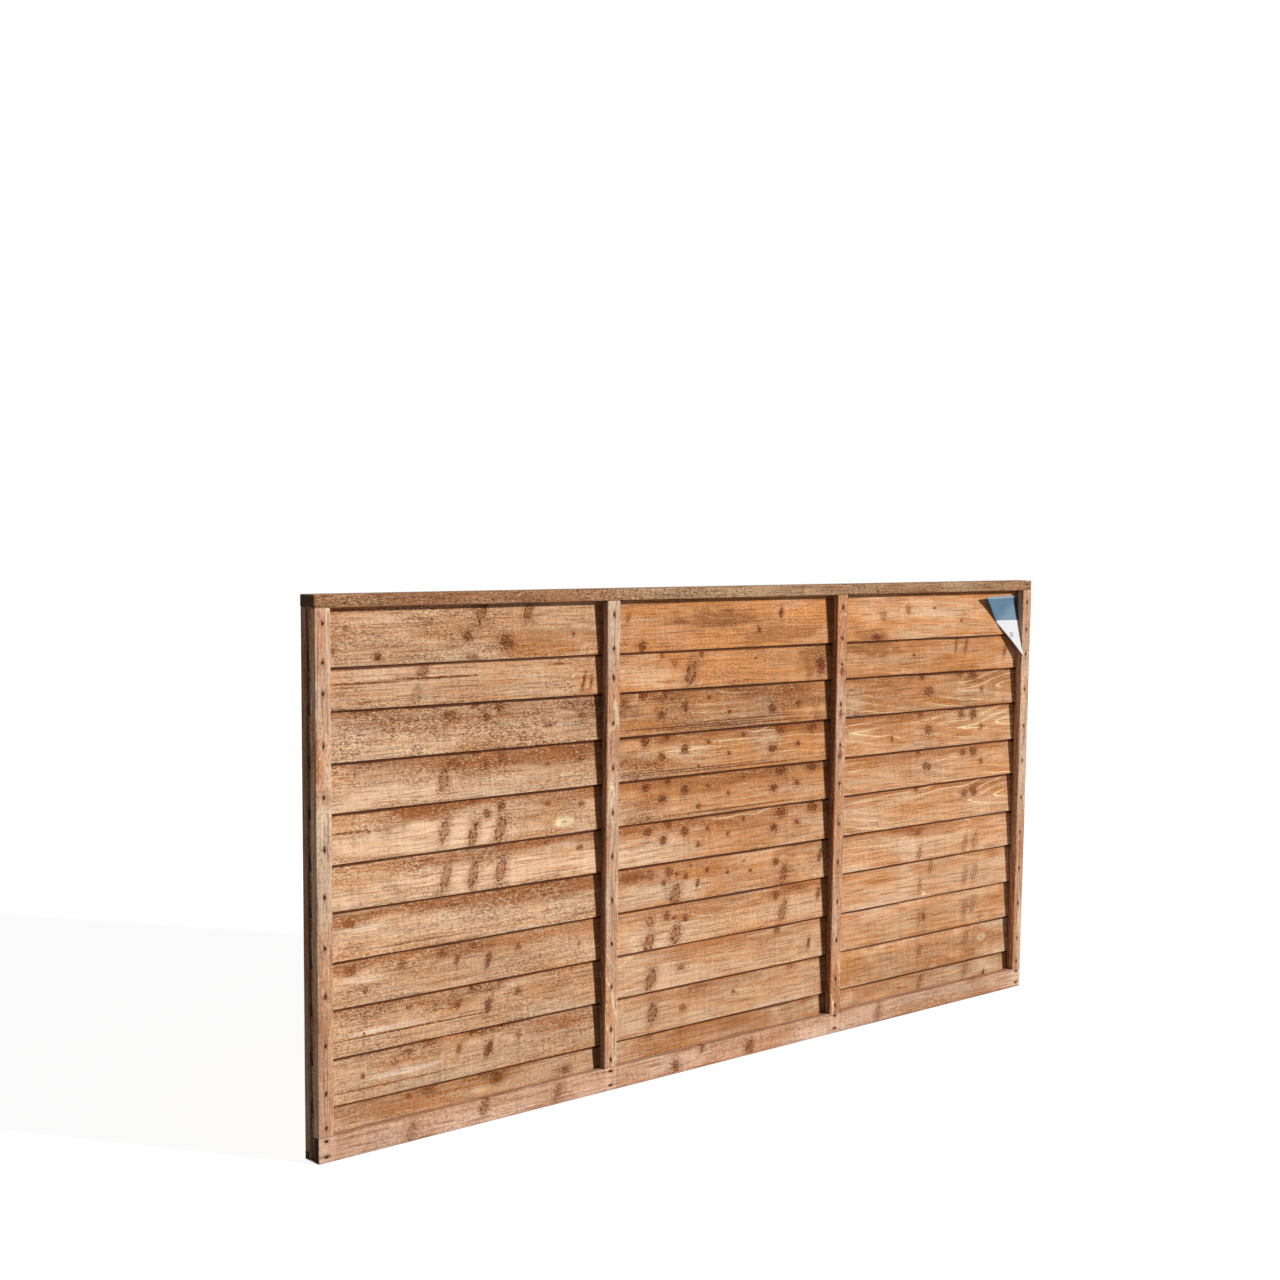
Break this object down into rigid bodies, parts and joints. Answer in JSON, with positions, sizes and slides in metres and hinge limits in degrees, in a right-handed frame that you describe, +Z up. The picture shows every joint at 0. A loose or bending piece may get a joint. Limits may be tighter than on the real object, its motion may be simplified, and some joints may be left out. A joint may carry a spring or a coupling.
{
  "type": "wooden fence panel",
  "caption": "Lap fence panel of sawn softwood: overlapping slats nailed between front and back uprights, with a cap rail and foot rails.",
  "frame": {"origin": "middle of the panel's foot, midway between its front and the cap rail's back", "axes": "+X along the panel, to the right as seen from the front; -Y out of the front, +Y out of the back; +Z up"},
  "size_m": [1.828, 0.0456, 0.914],
  "materials": {
    "cap_wood": "rough sawn, weathered",
    "upright_wood": "sawn, dipped",
    "slat_wood": "rough sawn, dipped",
    "rail_wood": "sawn, dipped",
    "nail_steel": "dull, stained",
    "card": "printed card"
  },
  "bodies": {
    "root": {"cap_rail": "cap_wood", "front_upright_1": "upright_wood", "front_upright_2": "upright_wood", "front_upright_3": "upright_wood", "front_upright_4": "upright_wood", "back_upright_1": "upright_wood", "back_upright_2": "upright_wood", "back_upright_3": "upright_wood", "back_upright_4": "upright_wood", "slat_01": "slat_wood", "slat_02": "slat_wood", "slat_03": "slat_wood", "slat_04": "slat_wood", "slat_05": "slat_wood", "slat_06": "slat_wood", "slat_07": "slat_wood", "slat_08": "slat_wood", "slat_09": "slat_wood", "slat_10": "slat_wood", "foot_slat": "slat_wood", "bottom_rail": "rail_wood", "rear_rail": "rail_wood", "upright_nails": "nail_steel", "rail_nails": "nail_steel", "cap_nails": "nail_steel", "corner_card": "card"}
  },
  "joints": []
}
